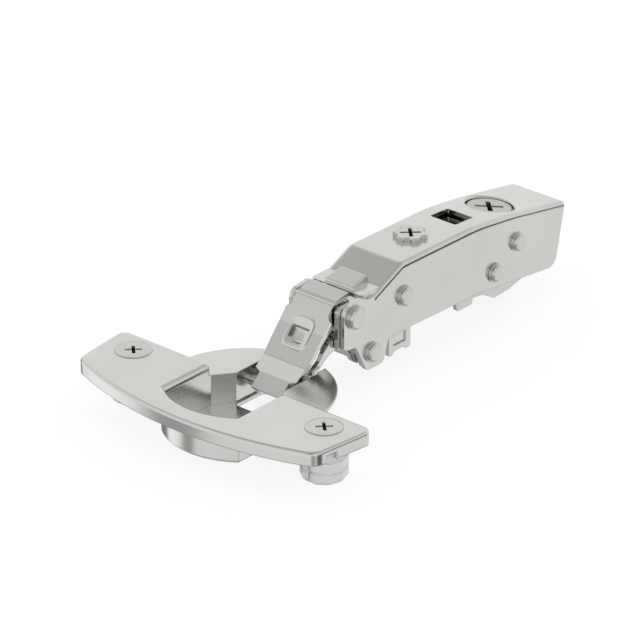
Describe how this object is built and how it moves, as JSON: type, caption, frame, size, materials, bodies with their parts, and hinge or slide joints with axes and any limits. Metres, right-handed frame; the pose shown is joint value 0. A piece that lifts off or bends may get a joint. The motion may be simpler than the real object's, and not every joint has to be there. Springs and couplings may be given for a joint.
{
  "type": "concealed cup hinge",
  "caption": "Concealed hinge for a cabinet door: a round cup with flanged wings, two stamped links and a long adjustable arm that clips to a plate, shown open.",
  "frame": {"origin": "on the axis of the round cup, in the plane of the door face that the flange lies on", "axes": "+X along the hinge axis, +Y from the cup towards the arm, +Z out of the door face"},
  "size_m": [0.068, 0.1171, 0.0254],
  "materials": {
    "plated_sheet": "nickel-plated pressed steel, satin",
    "plated_screws": "nickel-plated steel, satin",
    "plated_rivets": "nickel-plated steel, smooth",
    "spring_wire": "drawn spring wire, oiled",
    "dowel_plastic": "natural translucent nylon"
  },
  "bodies": {
    "cup": {"hinge_cup": "plated_sheet", "flange_screw_left": "plated_screws", "flange_screw_right": "plated_screws", "press_in_dowel_left": "dowel_plastic", "press_in_dowel_right": "dowel_plastic", "outer_link_pin": "plated_rivets", "inner_link_pin": "plated_rivets"},
    "outer_link": {"outer_link": "plated_sheet"},
    "inner_link": {"inner_link": "plated_sheet"},
    "arm": {"arm_housing": "plated_sheet", "bearing_channel": "plated_sheet", "upper_pivot_rivet": "plated_rivets", "lower_pivot_rivet": "plated_rivets", "spring_rivet": "plated_rivets", "closing_spring": "spring_wire", "rocker_pivot_rivet": "plated_rivets"},
    "side_screw": {"side_adjusting_screw": "plated_screws"},
    "rocker": {"adjusting_rocker": "plated_sheet", "guide_rivet": "plated_rivets"},
    "depth_cam": {"depth_adjusting_cam": "plated_screws"},
    "carriage": {"mounting_carriage": "plated_sheet", "catch_pin": "plated_rivets", "catch_spring": "spring_wire"},
    "catch": {"release_catch": "plated_sheet"}
  },
  "joints": [
    {"name": "door_fold", "type": "hinge", "parent": "cup", "child": "outer_link", "pos_m": [0, 0.0096, -0.003], "axis": [1, 0, 0], "range_deg": [0, 124.9]},
    {"name": "arm_swing", "type": "hinge", "parent": "outer_link", "child": "arm", "pos_m": [0, 0.0255, 0.0098], "axis": [1, 0, 0], "range_deg": [-30.2, 0]},
    {"name": "inner_link_swing", "type": "hinge", "parent": "cup", "child": "inner_link", "pos_m": [0, 0.0136, -0.0011], "axis": [1, 0, 0], "range_deg": [0, 143.2]},
    {"name": "side_screw_turn", "type": "hinge", "parent": "arm", "child": "side_screw", "pos_m": [0, 0.0522, 0.01643], "axis": [0, 0.01, 1], "range_deg": [-340, 340]},
    {"name": "rocker_tilt", "type": "hinge", "parent": "arm", "child": "rocker", "pos_m": [0, 0.0789, 0.008], "axis": [1, 0, 0], "range_deg": [-1.5, 1.5]},
    {"name": "depth_cam_turn", "type": "hinge", "parent": "rocker", "child": "depth_cam", "pos_m": [0, 0.0786, 0.01468], "axis": [0, 0.1219, 0.9925], "range_deg": [-62, 62]},
    {"name": "depth_slide", "type": "slide", "parent": "rocker", "child": "carriage", "axis": [0, 0.9925, -0.1219], "range_m": [-0.002, 0.002]},
    {"name": "catch_lift", "type": "hinge", "parent": "carriage", "child": "catch", "pos_m": [0, 0.0866, 0.0046], "axis": [1, 0, 0], "range_deg": [-18, 0], "stiffness_Nm_per_rad": 0.005, "springref_deg": 17.19}
  ],
  "couplings": [
    {"joint": "arm_swing", "follows": "door_fold", "ratio": -0.2381},
    {"joint": "inner_link_swing", "follows": "door_fold", "ratio": 1.1308},
    {"joint": "side_screw_turn", "follows": "rocker_tilt", "ratio": 209.7},
    {"joint": "depth_cam_turn", "follows": "depth_slide", "rad_per_m": 523.6}
  ]
}
